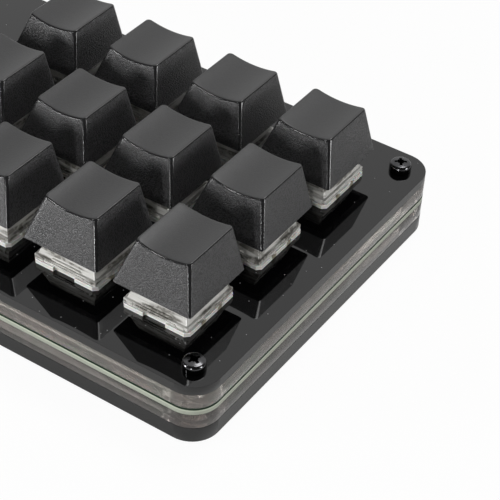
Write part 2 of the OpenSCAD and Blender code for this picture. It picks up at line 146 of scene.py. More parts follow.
class Wire:
    """One output socket of a node tree, which can stand in a formula."""

    def __init__(self, owner, socket):
        self.owner, self.socket = owner, socket

    def combine(self, operation, first, second):
        wide = any(
            isinstance(v, tuple) or (isinstance(v, Wire) and v.socket.type in ("VECTOR", "RGBA"))
            for v in (first, second)
        )
        kind = "ShaderNodeVectorMath" if wide else "ShaderNodeMath"
        return self.owner.node(kind, {"operation": operation}, {0: first, 1: second})

    def __add__(self, other):
        return self.combine("ADD", self, other)

    def __radd__(self, other):
        return self.combine("ADD", other, self)

    def __sub__(self, other):
        return self.combine("SUBTRACT", self, other)

    def __rsub__(self, other):
        return self.combine("SUBTRACT", other, self)

    def __mul__(self, other):
        return self.combine("MULTIPLY", self, other)

    def __rmul__(self, other):
        return self.combine("MULTIPLY", other, self)

    def __gt__(self, other):
        return self.combine("GREATER_THAN", self, other)

    def __lt__(self, other):
        return self.combine("LESS_THAN", self, other)


print("wire ready")

# %% A node tree, and a material made of one


class Nodes:
    """The node tree of a material or of the world."""

    def __init__(self, tree):
        self.tree = tree

    def node(self, kind, settings=None, sockets=None, out=0):
        made = self.tree.nodes.new(kind)
        for key, value in (settings or {}).items():
            setattr(made, key, value)
        for key, value in (sockets or {}).items():
            socket = made.inputs[key]
            if isinstance(value, Wire):
                self.tree.links.new(value.socket, socket)
            elif isinstance(value, tuple) and socket.type == "RGBA":
                socket.default_value = (*value, 1)
            elif isinstance(value, (int, float)) and socket.type == "VECTOR":
                socket.default_value = (value, value, value)
            else:
                socket.default_value = value
        return Wire(self, made.outputs[out])

    def place(self):
        return self.node("ShaderNodeTexCoord", out="Object")

    def axis(self, name):
        return self.node("ShaderNodeSeparateXYZ", None, {0: self.place()}, name)

    def facing(self, name):
        normal = self.node("ShaderNodeNewGeometry", out="Normal")
        return self.node("ShaderNodeSeparateXYZ", None, {0: normal}, name)

    def noise(self, size_mm, detail=2.0, stretch=(1, 1, 1)):
        scaled = self.place() * tuple(s / size_mm / MM for s in stretch)
        sockets = {"Vector": scaled, "Scale": 1.0, "Detail": detail}
        return self.node("ShaderNodeTexNoise", None, sockets, "Fac")

    def ramp(self, value, low, high):
        sockets = {"Value": value, "From Min": low, "From Max": high}
        return self.node("ShaderNodeMapRange", {"clamp": True}, sockets)

    def mix(self, first, second, factor):
        sockets = {0: factor, 6: first, 7: second}
        return self.node("ShaderNodeMix", {"data_type": "RGBA"}, sockets, 2)

    def bump(self, height, depth_mm, strength=1.0):
        sockets = {"Height": height, "Distance": depth_mm * MM, "Strength": strength}
        return self.node("ShaderNodeBump", None, sockets)

    def ray(self, kind):
        return self.node("ShaderNodeLightPath", out=kind)

    def larger(self, first, second):
        return self.node("ShaderNodeMath", {"operation": "MAXIMUM"}, {0: first, 1: second})


class Finish(Nodes):
    """One material, with its Principled shader ready."""

    def __init__(self, name, **constants):
        self.material = bpy.data.materials.new(name)
        self.material.use_nodes = True
        super().__init__(self.material.node_tree)
        self.shader = self.tree.nodes["Principled BSDF"]
        for socket, value in constants.items():
            self.shader.inputs[socket.replace("_", " ")].default_value = value

    def feed(self, **wires):
        for socket, wire in wires.items():
            self.tree.links.new(wire.socket, self.shader.inputs[socket.replace("_", " ")])
        return self.material


print("shader helpers ready")

# %% [markdown]
# ## Studio
#
# Product pictures like this one are taken in front of a white wall: it is white for the camera
# and through clear plastic. Gloss sees the wall behind the pad, and the dark room at the
# front, which keeps the keys' front faces black and draws thin dark lines along their edges.
# Matte surfaces get most of their light from the lamps, so the world is dim for them.

# %% World
WALL_AZIMUTH, WALL_ELEVATION = 205, 30
WALL_BEGINS, WALL_IS_FULL = 0.4, 0.75  # cosines of the angle to the wall's middle
DARK_ROOM, MATTE_LIGHT = 0.08, 0.06

world = bpy.data.worlds.new("white_wall")
bpy.context.scene.world = world
world.use_nodes = True
room = Nodes(world.node_tree)
direction = room.node("ShaderNodeTexCoord", out="Generated")
wall = tuple(towards(WALL_AZIMUTH, WALL_ELEVATION))
towards_wall = room.node("ShaderNodeVectorMath", {"operation": "DOT_PRODUCT"},
                         {0: direction, 1: wall}, "Value")
wall_share = room.ramp(towards_wall, WALL_BEGINS, WALL_IS_FULL)
gloss_light = DARK_ROOM + wall_share * (1 - DARK_ROOM)
strength = room.larger(room.ray("Is Glossy Ray") * gloss_light,
                       room.larger(room.ray("Is Camera Ray"), room.ray("Is Transmission Ray")))
strength = room.larger(strength, MATTE_LIGHT)
background = world.node_tree.nodes["Background"]
background.inputs["Color"].default_value = (1, 1, 1, 1)
world.node_tree.links.new(strength.socket, background.inputs["Strength"])
print("world:", world.name)

# %% [markdown]
# Five softboxes stand round the pad. The one at the front left stands low, so that the front row
# is lit and shades the rows behind it. Two small ones draw the bright lines along the keys' top
# rims and front right edges. The last two light the right side and the plate from behind.

# %% Lamps
LAMP_DISTANCE = 0.8
LAMPS_AIM_AT = Vector((0.03, 0, 0.02))


def softbox(name, azimuth, elevation, wide, tall, watts):
    lamp = add_object(name, bpy.data.lights.new(name, "AREA"))
    lamp.data.shape = "RECTANGLE"
    lamp.data.size, lamp.data.size_y, lamp.data.energy = wide, tall, watts
    away = towards(azimuth, elevation)
    lamp.location = LAMPS_AIM_AT + away * LAMP_DISTANCE
    lamp.rotation_euler = (-away).to_track_quat("-Z", "Y").to_euler()


softbox("front_left_box", -42, 7, 0.18, 0.18, 4.6)
softbox("rim_box", -32, 42, 0.06, 0.06, 0.75)
softbox("corner_strip", 13, 7, 0.05, 0.18, 1.6)
softbox("right_box", 97, 12, 0.20, 0.20, 2.7)
softbox("back_box", 172, 68, 0.30, 0.30, 2.9)

# %% [markdown]
# The floor is white paper. It takes the pad's shadow as a matte surface and shows as white to the
# camera, and gloss and clear plastic see it dimmer, as they would in a real studio.

# %% Floor
FLOOR_REACH = 3
QUARTERS = ((-1, -1), (1, -1), (1, 1), (-1, 1))
FOR_CAMERA, FOR_GLOSS, FOR_CLEAR = 0.96, 0.35, 0.5

floor = add_object("floor", bpy.data.meshes.new("floor"))
floor.data.from_pydata([(sx * FLOOR_REACH, sy * FLOOR_REACH, 0) for sx, sy in QUARTERS], [],
                       [(0, 1, 2, 3)])
paper = Finish("white_paper", Roughness=0.9)
fibres = paper.noise(0.8, 3.0)
paper.feed(Base_Color=paper.mix((0.84, 0.84, 0.83), (0.88, 0.88, 0.87), fibres))
white = paper.node("ShaderNodeEmission", None, {"Color": (1, 1, 1)}, "Emission")
shown = paper.larger(paper.ray("Is Camera Ray") * FOR_CAMERA,
                     paper.larger(paper.ray("Is Glossy Ray") * FOR_GLOSS,
                                  paper.ray("Is Transmission Ray") * FOR_CLEAR))
surface = paper.node("ShaderNodeMixShader", None,
                     {0: shown, 1: Wire(paper, paper.shader.outputs[0]), 2: white}, "Shader")
paper.tree.links.new(surface.socket, paper.tree.nodes["Material Output"].inputs["Surface"])
floor.data.materials.append(paper.material)
print(paper.material.name)

# %% [markdown]
# ## Keycap plastic
#
# The keycaps are moulded in black plastic. Their sides carry a fine spark grain from the mould,
# and the tops are smoother. A noise of about a quarter of a millimetre makes the grain. It drives
# a bump and a change of tone, and both fade where the surface faces up. The thin rims between
# the faces, and the edges at the front right, are polished: they have hardly any grain and a
# gloss of their own, so that each draws one clean line.

# %% Keycap plastic
GRAIN_MM, GRAIN_DEPTH_MM = 0.27, 0.05

cap_finish = Finish("keycap_plastic", Specular_IOR_Level=0.5)
speckle = cap_finish.ramp(cap_finish.noise(GRAIN_MM, 1.0), 0.40, 0.60)
drift = cap_finish.noise(6.0)
lift = cap_finish.facing("Z")
upward = cap_finish.ramp(lift, 0.55, 0.9)
rim = cap_finish.ramp(lift, 0.42, 0.5) * (1 - cap_finish.ramp(lift, 0.86, 0.93))
corner = (cap_finish.ramp(cap_finish.facing("X"), 0.22, 0.36)
          * cap_finish.ramp(cap_finish.facing("Y"), -0.22, -0.36))
polished = cap_finish.larger(rim, corner)
grain = speckle * (1 - upward * 0.85) * (1 - polished * 0.92)
dark = cap_finish.mix((0.009, 0.009, 0.0095), (0.012, 0.012, 0.0125), drift)
cap_plastic = cap_finish.feed(
    Base_Color=cap_finish.mix(dark, (0.066, 0.065, 0.067), grain * 0.7),
    Roughness=0.34 - polished * 0.20 + grain * 0.08,
    Normal=cap_finish.bump(grain, GRAIN_DEPTH_MM),
)
print(cap_plastic.name)

# %% [markdown]
# ## Black acrylic
#
# The plates are laser-cut from glossy black acrylic. Seen from above they are nearly mirrors
# that hold a few specks of dust, and their cut edges are a little duller, with faint upright
# lines from the laser. The surface's own normal tells the two apart. The specks are the middles
# of flat Voronoi cells, and each cell's random colour decides whether it holds one.

# %% Black acrylic
DUST_CELLS_PER_M, SPECK_R, EMPTY_SHARE = 230.0, 0.024, 0.5
DULL_FOOT_MM = 0.3

acrylic = Finish("black_acrylic", Specular_IOR_Level=0.5, IOR=1.49)
flat = acrylic.ramp(acrylic.facing("Z"), 0.3, 0.9)
cut_edge = 1 - flat
in_plane = {"voronoi_dimensions": "2D"}
dust = {"Vector": acrylic.place(), "Scale": DUST_CELLS_PER_M}
cells = acrylic.node("ShaderNodeTexVoronoi", in_plane, dust)
tone = acrylic.node("ShaderNodeTexVoronoi", in_plane, dust, "Color")
chance = acrylic.node("ShaderNodeSeparateXYZ", None, {0: tone}, 0)
speck = (cells < SPECK_R) * (chance > EMPTY_SHARE) * flat
lines = acrylic.noise(0.22, 2.0, stretch=(1, 1, 0.04))
foot_line = acrylic.axis("Z") < (box_mm("bottom_plate")[0].z + DULL_FOOT_MM) * MM
sheet_black = acrylic.mix((0.0012, 0.0012, 0.0014), (0.012, 0.012, 0.012), cut_edge)
black_acrylic = acrylic.feed(
    Base_Color=acrylic.mix(sheet_black, (0.35, 0.35, 0.36), speck * chance),
    Roughness=0.02 + cut_edge * 0.24 + speck * 0.4 + foot_line * 0.2,
    Normal=acrylic.bump(lines * cut_edge, 0.02, 0.4),
)
print(black_acrylic.name)

# %% [markdown]
# ## Clear acrylic
#
# The sheets above and below the board are clear. Through the cut edge one looks into a dim
# inside, and that shade is painted into their colour: warm grey with faint green and pink
# patches, and the lower sheet, under the board, is painted darker still. Most of the light goes
# through, with some haze, so that the screws and inserts inside still show at the corners.

# %% Clear acrylic
clear = Finish("clear_acrylic", IOR=1.49, Transmission_Weight=0.86)
patches = clear.ramp(clear.noise(3.0, 3.0, stretch=(1, 1, 0.5)), 0.45, 0.7)
tints = clear.ramp(clear.noise(7.0), 0.42, 0.62)
streaks = clear.noise(0.35, 2.0, stretch=(1, 1, 0.08))
# Painted shade: the warm grey stands for the dim inside seen through the sheet.
painted_inside_shade = clear.mix((0.57, 0.51, 0.47), (0.52, 0.53, 0.47), tints)
painted_inside_shade = clear.mix(painted_inside_shade, (0.74, 0.68, 0.64), patches)
# Painted shade under the board: the lower sheet's colour is darker.
painted_shade_under_board = clear.axis("Z") < board_low.z * MM
clear_acrylic = clear.feed(
    Base_Color=painted_inside_shade * clear.mix((1, 1, 1), (0.58, 0.57, 0.58), painted_shade_under_board),
    Roughness=0.03 + streaks * 0.07,
    Normal=clear.bump(streaks, 0.02, 0.3),
)
print(clear_acrylic.name)

# %% [markdown]
# ## Circuit board
#
# The edge of a board shows its layers: a dark line of solder mask on top and the pale
# yellow-green glass fibre under it. The height of a point in the board picks the colour. The
# faces are dark green with fine copper tracks under the mask.

# %% Circuit board
MASK_MM, LOW_MASK_MM, CORE_MM = 0.44, 0.06, 0.85
mask_start = (board_high.z - MASK_MM) * MM

board = Finish("circuit_board", Specular_IOR_Level=0.5)
height = board.axis("Z")
mask_line = (height > mask_start) + (height < (board_low.z + LOW_MASK_MM) * MM)
core_line = board.ramp(height, mask_start, (board_high.z - CORE_MM) * MM)
up_or_down = board.node("ShaderNodeMath", {"operation": "ABSOLUTE"}, {0: board.facing("Z")})
board_side = 1 - board.ramp(up_or_down, 0.3, 0.8)
fibre = board.noise(0.25, 2.0, stretch=(1, 1, 3))
tracks = board.node("ShaderNodeTexBrick", None,
                    {"Vector": board.place(), "Scale": 90.0, "Mortar Size": 0.03,
                     "Color1": (0.016, 0.060, 0.030), "Color2": (0.020, 0.075, 0.038),
                     "Mortar": (0.035, 0.115, 0.060)})
laminate = board.mix((0.50, 0.56, 0.44), (0.26, 0.28, 0.23), core_line)
laminate = board.mix(laminate, (0.42, 0.44, 0.37), fibre * 0.5)
side_colour = board.mix(laminate, (0.006, 0.018, 0.008), mask_line)
green_board = board.feed(
    Base_Color=board.mix(tracks, side_colour, board_side),
    Roughness=0.30 + board_side * 0.25 + mask_line * board_side * 0.4,
)
print(green_board.name)

# %% [markdown]
# ## Milky switch plastic
#
# The switches' housings are moulded in natural nylon, white with a warm tint, and light creeps a
# little way into them. The lower housing is milky. Its flange's edges carry a painted highlight:
# the height of a point over the plate picks a lighter tone there.

# %% Milky switch plastic
HIGHLIGHT_BELOW_MM, HIGHLIGHT_ABOVE_MM = 0.24, 0.82

nylon = Finish("milky_nylon", Subsurface_Weight=0.15, Subsurface_Scale=0.001,
               Transmission_Weight=0.10, IOR=1.5)
flow = nylon.noise(1.2)
over_plate = nylon.axis("Z") - plate_top * MM
# Painted highlight: a lighter tone low by the plate and from a little above it upwards.
painted_edge_highlight = (over_plate < HIGHLIGHT_BELOW_MM * MM) + (over_plate > HIGHLIGHT_ABOVE_MM * MM)
body_tone = nylon.mix((0.74, 0.72, 0.67), (0.88, 0.865, 0.82), flow)
milky_nylon = nylon.feed(
    Base_Color=nylon.mix(body_tone, (0.95, 0.94, 0.91), painted_edge_highlight),
    Roughness=0.18 + flow * 0.14,
    Normal=nylon.bump(nylon.noise(0.5), 0.02, 0.4),
)
print(milky_nylon.name)

# %% [markdown]
# The upper housing is nearly clear. Its colour holds painted light: grey patches of painted shade
# for its dark inside, and white bands of painted highlight that run along the moulding.

# %% Clear switch plastic
shell_finish = Finish("clear_nylon", Transmission_Weight=0.35, IOR=1.5)
# Painted highlight bands, and patches of painted shade for the dark inside.
painted_light_bands = shell_finish.ramp(shell_finish.noise(1.6, 1.0, stretch=(0.2, 0.2, 2.0)), 0.40, 0.54)
blots = shell_finish.ramp(shell_finish.noise(1.1), 0.46, 0.6)
painted_dim_inside = shell_finish.mix((0.26, 0.25, 0.225), (0.60, 0.585, 0.545), blots)
clear_nylon = shell_finish.feed(
    Base_Color=shell_finish.mix(painted_dim_inside, (0.92, 0.91, 0.87), painted_light_bands),
    Roughness=0.08 + painted_light_bands * 0.12,
    Normal=shell_finish.bump(painted_light_bands, 0.05, 0.5),
)
print(clear_nylon.name)

# %% [markdown]
# ## Metals, rubber and small mouldings
#
# The rest are everyday finishes: blackened screws, bright inserts, pressed steel, spring
# wire, brass, rubber, paint and a few moulded plastics. Each has a base, a second tone, and a
# noise that blends them and varies the roughness, so one recipe with different numbers makes
# them all.

# %% Metals, rubber and small mouldings


def everyday(name, first, second, rough, spread, size_mm, metal=0.0, bump_mm=0.004,
             stretch=(1, 1, 1)):
    made = Finish(name, Metallic=metal)
    wear = made.noise(size_mm, 3.0, stretch)
    return made.feed(
        Base_Color=made.mix(first, second, wear),
        Roughness=rough + wear * spread,
        Normal=made.bump(wear, bump_mm, 0.5),
    )


black_steel = everyday("black_screw_steel", (0.045, 0.045, 0.047), (0.085, 0.085, 0.088),
                       0.12, 0.10, 0.8, metal=1.0)
bright_metal = everyday("bright_insert_metal", (0.70, 0.67, 0.60), (0.92, 0.90, 0.84),
                        0.16, 0.2, 0.3, metal=1.0)
pressed_steel = everyday("pressed_steel", (0.52, 0.53, 0.55), (0.68, 0.69, 0.70),
                         0.22, 0.22, 0.5, metal=1.0, stretch=(1, 1, 6))
spring_wire = everyday("spring_wire", (0.55, 0.55, 0.57), (0.75, 0.75, 0.77),
                       0.2, 0.15, 0.4, metal=1.0)
sprung_brass = everyday("sprung_brass", (0.62, 0.42, 0.18), (0.80, 0.58, 0.28),
                        0.2, 0.2, 0.5, metal=1.0)
foot_rubber = everyday("foot_rubber", (0.012, 0.012, 0.012), (0.030, 0.030, 0.030),
                       0.65, 0.25, 0.4, bump_mm=0.03)
black_moulding = everyday("black_moulding", (0.018, 0.018, 0.018), (0.035, 0.034, 0.033),
                          0.42, 0.2, 0.5, bump_mm=0.01)
stem_plastic = everyday("stem_plastic", (0.020, 0.075, 0.26), (0.035, 0.11, 0.34), 0.22, 0.14, 0.7)
plunger_nylon = everyday("plunger_nylon", (0.62, 0.58, 0.48), (0.76, 0.72, 0.62), 0.35, 0.2, 0.8)
lamp_plastic = everyday("lamp_plastic", (0.72, 0.70, 0.58), (0.88, 0.86, 0.76), 0.15, 0.15, 0.6)
# Painted shade for the flange's side slots: a dark brownish grey.
slot_shade_plastic = everyday("slot_shade_plastic", (0.20, 0.18, 0.13), (0.36, 0.33, 0.25), 0.2, 0.2, 0.7)
knob_plastic = everyday("knob_plastic", (0.022, 0.022, 0.023), (0.036, 0.036, 0.037),
                        0.36, 0.18, 0.3, bump_mm=0.02)
mark_paint = everyday("mark_paint", (0.74, 0.74, 0.72), (0.86, 0.86, 0.84), 0.35, 0.2, 0.5)
print("materials:", len(bpy.data.materials))

# %% [markdown]
# ## Turning lists of points into pieces
#
# Most shapes here are rings of points stacked on each other, as on a lathe. ring_mesh joins
# such rings with quads and closes the two ends. A shape is its points and its faces, in
# millimetres about its own middle, and is copied to its place.

# %% Shapes


def ring_mesh(rings, closed=True):
    count = len(rings[0])
    points = [p for ring in rings for p in ring]
    faces = []
    for r in range(len(rings) - 1):
        for i in range(count):
            j = (i + 1) % count
            faces.append((r * count + i, r * count + j, (r + 1) * count + j, (r + 1) * count + i))
    if closed:
        last = (len(rings) - 1) * count
        faces.append(tuple(reversed(range(count))))
        faces.append(tuple(range(last, last + count)))
    return points, faces


def loop_rings(rings):
    """Rings whose last one joins the first again, such as a tube's outside and bore."""
    points, faces = ring_mesh(rings, closed=False)
    count, last = len(rings[0]), (len(rings) - 1) * len(rings[0])
    for i in range(count):
        j = (i + 1) % count
        faces.append((last + i, last + j, j, i))
    return points, faces


def gather(*shapes):
    points, faces = [], []
    for more_points, more_faces in shapes:
        start = len(points)
        points += list(more_points)
        faces += [tuple(i + start for i in face) for face in more_faces]
    return points, faces


def moved(shape, x, y, z=0.0):
    return [(p[0] + x, p[1] + y, p[2] + z) for p in shape[0]], shape[1]


def flat_circle(x, y, radius, count=48):
    return [(x + radius * math.cos(math.tau * i / count),
             y + radius * math.sin(math.tau * i / count)) for i in range(count)]


def circle_ring(radius, z, count=48):
    return [(x, y, z) for x, y in flat_circle(0, 0, radius, count)]


print("shape helpers ready")

# %% [markdown]
# A piece is a mesh that rides on one body of the pad, such as a key or the case. All its faces
# are turned outwards, and it is shaded smooth except at edges sharper than an angle, which
# keeps real edges crisp.

# %% Pieces


def solid_mesh(name, points, faces):
    """A mesh whose faces all look outwards."""
    mesh = bpy.data.meshes.new(name)
    mesh.from_pydata(points, [], faces)
    work = bmesh.new()
    work.from_mesh(mesh)
    bmesh.ops.recalc_face_normals(work, faces=work.faces)
    work.to_mesh(mesh)
    work.free()
    return mesh


def smooth_by_angle(mesh, degrees):
    mesh.polygons.foreach_set("use_smooth", [True] * len(mesh.polygons))
    work = bmesh.new()
    work.from_mesh(mesh)
    for line in work.edges:
        line.smooth = len(line.link_faces) == 2 and line.calc_face_angle(0) < math.radians(degrees)
    work.to_mesh(mesh)
    work.free()


def piece(name, shape, material, body, *stands_for, slot, degrees=32):
    points, faces = shape
    mesh = solid_mesh(name, [(x * MM, y * MM, z * MM) for x, y, z in points], faces)
    smooth_by_angle(mesh, degrees)
    mesh.materials.append(material)
    made = add_object(name, mesh)
    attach(made, body)
    if stands_for:
        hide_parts(*stands_for)
    return made


print("piece helpers ready")

# %% [markdown]
# ## Keycaps
#
# A keycap is a lofted box: a nearly sharp square at the base, a smaller rounded square at the
# top that sits further back, and a shallow trough for the fingertip that runs from front to
# back. The loft is built from closed rings of points, so its two outlines need as many points
# each.

# %% Keycap outlines
CAP = {"side": 18.1, "height": 9.5, "lean": 2.9, "front": 3.75, "back": 0.25, "dish": 0.9,
       "wall": 1.4, "base_radius": 0.7, "top_radius": 1.0}
CORNER_STEPS, SIDE_STEPS = 8, 10
half = CAP["side"] / 2
DISH_HALF = half - CAP["lean"] + 0.3
DISH_R = (DISH_HALF**2 + CAP["dish"] ** 2) / (2 * CAP["dish"])


def between(first, second, share):
    """The point at a share of the way from one point to another."""
    return tuple(a + (b - a) * share for a, b in zip(first, second))


def rounded_square(half_x, front, back_y, radius):
    points = []
    middles = [(half_x - radius, front + radius, -90), (half_x - radius, back_y - radius, 0),
               (-half_x + radius, back_y - radius, 90), (-half_x + radius, front + radius, 180)]
    for k, (x, y, start) in enumerate(middles):
        for i in range(CORNER_STEPS + 1):
            t = math.radians(start + 90 * i / CORNER_STEPS)
            points.append((x + radius * math.cos(t), y + radius * math.sin(t)))
        next_x, next_y, next_start = middles[(k + 1) % 4]
        t = math.radians(next_start)
        begin, end = points[-1], (next_x + radius * math.cos(t), next_y + radius * math.sin(t))
        points += [between(begin, end, i / SIDE_STEPS) for i in range(1, SIDE_STEPS)]
    return points


base_line = rounded_square(half, -half, half, CAP["base_radius"])
top_line = rounded_square(half - CAP["lean"], -half + CAP["front"], half - CAP["back"],
                          CAP["top_radius"])
print("outline points:", len(base_line))

# %% [markdown]
# The side walls run straight from the base outline to the top outline and end where they meet
# the trough. The edge round the trough is rounded over with a short curve, because that thin rim
# catches the light and makes a keycap look real. Smaller and smaller rings then fill the trough.

# %% Keycap outside
RIM, FOOT = 0.42, 0.18
RIM_REACH = RIM * 1.25
WALL_RINGS, RIM_RINGS, DISH_RINGS = 10, 6, 12
CENTRE_Y = (CAP["front"] - CAP["back"]) / 2


def dish_height(x):
    return CAP["height"] - CAP["dish"] + DISH_R - math.sqrt(DISH_R**2 - x * x)


def on_side(i, z):
    """Where line i of the side walls is at height z."""
    return between(base_line[i], top_line[i], z / CAP["height"])


def side_ring(heights):
    return [(*on_side(i, z), z) for i, z in enumerate(heights)]


def top_of(i):
    """The height at which line i of the side walls meets the trough, found in a few steps."""
    z = CAP["height"]
    for _ in range(4):
        z = dish_height(on_side(i, z)[0])
    return z


def inward(x, y, _):
    """The point of the trough at which the rounded rim that starts at x, y ends."""
    dx, dy = -x, CENTRE_Y - y
    size = math.hypot(dx, dy)
    x, y = x + dx / size * RIM_REACH, y + dy / size * RIM_REACH
    return x, y, dish_height(x)


def rounded(first, middle, last, t):
    """A point on the curve from first to last that is drawn towards the middle point."""
    return tuple((1 - t) ** 2 * a + 2 * t * (1 - t) * b + t * t * c
                 for a, b, c in zip(first, middle, last))


def outside_rings():
    tops = [top_of(i) for i in range(len(base_line))]
    rings = [[(x * (1 - FOOT / half), y * (1 - FOOT / half), 0.0) for x, y in base_line]]
    for k in range(WALL_RINGS + 1):
        rings.append(side_ring([FOOT + (top - RIM - FOOT) * k / WALL_RINGS for top in tops]))
    below, sharp = side_ring([top - RIM for top in tops]), side_ring(tops)
    inner = [inward(*point) for point in sharp]
    for k in range(1, RIM_RINGS):
        rings.append([rounded(*line, k / RIM_RINGS) for line in zip(below, sharp, inner)])
    rings.append(inner)
    for k in range(1, DISH_RINGS):
        s = 1 - k / DISH_RINGS
        rings.append([(x * s, CENTRE_Y + (y - CENTRE_Y) * s, dish_height(x * s))
                      for x, y, _ in inner])
    return rings


outside = outside_rings()
print("rings outside:", len(outside))

# %% [markdown]
# Inside, the cap is hollow, with walls of even thickness. The rings of the hollow come first and
# end at the open foot, where the first ring of the outside follows.

# %% Keycap hollow
HOLLOW_RINGS = 4
cap_roof = CAP["height"] - CAP["dish"] - CAP["wall"]


def hollow_rings():
    inner_half, share = half - CAP["wall"], cap_roof / CAP["height"]
    low = rounded_square(inner_half, -half + CAP["wall"], inner_half, 0.35)
    high = rounded_square(inner_half - CAP["lean"] * share,
                          -half + CAP["wall"] + CAP["front"] * share,
                          inner_half - CAP["back"] * share, 0.6)
    rings = [[(x, y, cap_roof) for x, y in high]]
    for k in range(HOLLOW_RINGS - 1, -1, -1):
        s = k / HOLLOW_RINGS
        rings.append([(*between(a, b, s), cap_roof * s) for a, b in zip(low, high)])
    return rings


shell = ring_mesh(hollow_rings() + outside)
print("keycap shell:", len(shell[0]), "points")

# %% [markdown]
# The socket that grips the switch's cross is a short tube with a cross-shaped hole. Its outline
# and the hole are drawn as a flat curve and given height, which is how Blender cuts a sheet with
# holes in it. The same helper later makes the clear sheets. Its bevel setting rounds the cut
# edges.

# %% Flat outlines with holes
MERGE_MM = 0.0005


def taken_out(work):
    """The shape that a bmesh holds. The bmesh itself is freed."""
    work.verts.index_update()
    points = [tuple(v.co) for v in work.verts]
    faces = [tuple(v.index for v in f.verts) for f in work.faces]
    work.free()
    return points, faces


def applied_mesh(thing):
    """A new mesh of an object's shape, with its modifiers or curve settings applied."""
    bpy.context.view_layer.update()
    graph = bpy.context.evaluated_depsgraph_get()
    return bpy.data.meshes.new_from_object(thing.evaluated_get(graph))


def cut_sheet(loops, low, high, bevel):
    """A sheet between two heights, from outlines in millimetres; the inner ones are holes."""
    curve = bpy.data.curves.new("outline", "CURVE")
    curve.dimensions, curve.fill_mode = "2D", "BOTH"
    curve.extrude = (high - low) / 2 - bevel
    curve.bevel_depth, curve.offset, curve.bevel_resolution = bevel, -bevel, 1
    for loop in loops:
        spline = curve.splines.new("POLY")
        spline.points.add(len(loop) - 1)
        for point, (x, y) in zip(spline.points, loop):
            point.co = (x, y, 0, 1)
        spline.use_cyclic_u = True
    holder = add_object("outline", curve)
    mesh = applied_mesh(holder)
    bpy.data.objects.remove(holder)
    bpy.data.curves.remove(curve)
    work = bmesh.new()
    work.from_mesh(mesh)
    bmesh.ops.remove_doubles(work, verts=work.verts, dist=MERGE_MM)
    bpy.data.meshes.remove(mesh)
    return moved(taken_out(work), 0, 0, (low + high) / 2)


def cross_line(length, width):
    a, b = length / 2, width / 2
    return [(-a, -b), (-b, -b), (-b, -a), (b, -a), (b, -b), (a, -b), (a, b), (b, b), (b, a),
            (-b, a), (-b, b), (-a, b)]


print("sheet helpers ready")

# %% Keycaps
SOCKET_R, SOCKET_FOOT, CROSS_LENGTH, CROSS_WIDTH = 2.75, 0.5, 4.1, 1.3

socket = cut_sheet([flat_circle(0, 0, SOCKET_R), cross_line(CROSS_LENGTH, CROSS_WIDTH)],
                   SOCKET_FOOT, cap_roof + 0.05, 0.08)
cap_shape = gather(shell, socket)
cap_base = box_mm("keycap_1")[0].z
for n, key in keys.items():
    piece(f"cap_{n}", moved(cap_shape, key.x, key.y, cap_base), cap_plastic, f"key_{n}",
          f"keycap_{n}", slot="keycaps", degrees=50)
print("keycaps:", len(keys), "with base at", round(cap_base, 2), "mm")

# %% [markdown]
# ## Springs
#
# Under each stem a coil spring pushes the key back up. The construction model keeps it as a
# sleeve, and here it becomes a wound wire: a circle of wire carried along a helix, with the end
# turns closed up as on a real compression spring.

# %% Springs
WIRE, SPRING_R, CLOSED_PITCH = 0.3, 2.2, 1.9  # the closed turns' pitch is in wire radii
COIL_R = SPRING_R - WIRE
TURNS, STEPS_PER_TURN, WIRE_SIDES = 8.0, 20, 6


def coil(low, high):
    rings = []
    room_left = high - low - 2 * WIRE - 2 * WIRE * CLOSED_PITCH
    for k in range(int(TURNS * STEPS_PER_TURN) + 1):
        turn = k / STEPS_PER_TURN
        open_share = min(max(turn - 1, 0), TURNS - 2) / (TURNS - 2)
        closed = (min(turn, 1) + max(turn - (TURNS - 1), 0)) * WIRE * CLOSED_PITCH
        z = low + WIRE + open_share * room_left + closed
        angle = math.tau * turn
        ring = []
        for i in range(WIRE_SIDES):
            t = math.tau * i / WIRE_SIDES
            r = COIL_R + WIRE * math.cos(t)
            ring.append((r * math.cos(angle), r * math.sin(angle), z + WIRE * math.sin(t)))
        rings.append(ring)
    return ring_mesh(rings)


spring_low, spring_high = box_mm("key_spring_1")
coil_shape = coil(spring_low.z, spring_high.z)
for n, key in keys.items():
    spring = piece(f"coil_{n}", moved(coil_shape, key.x, key.y), spring_wire, "case",
                   f"key_spring_{n}", slot="springs", degrees=70)
    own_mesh(spring)

# %% [markdown]
# ## Clear sheets
#
# The two clear sheets are frames with a boss round each screw. They are drawn again with
# rounded cut edges, and a hair thinner than their gap: clear plastic that touches another sheet
# exactly would render with blotches, and a real stack has a film of air there. Both outlines
# start at the front right and go round by the back, so their first halves are the right side.

# %% Outlines of the clear sheets
CASE_R, WALL, BOSS_R = 6.0, 5.5, 5.0
ARC_STEPS = 16
half_x, half_y = plate_high.x, plate_high.y


def sheet_line():
    points = []
    for sx, sy, start in ((1, -1, -90), (1, 1, 0), (-1, 1, 90), (-1, -1, 180)):
        x, y = sx * (half_x - CASE_R), sy * (half_y - CASE_R)
        for i in range(ARC_STEPS + 1):
            t = math.radians(start + 90 * i / ARC_STEPS)
            points.append((x + CASE_R * math.cos(t), y + CASE_R * math.sin(t)))
    return points


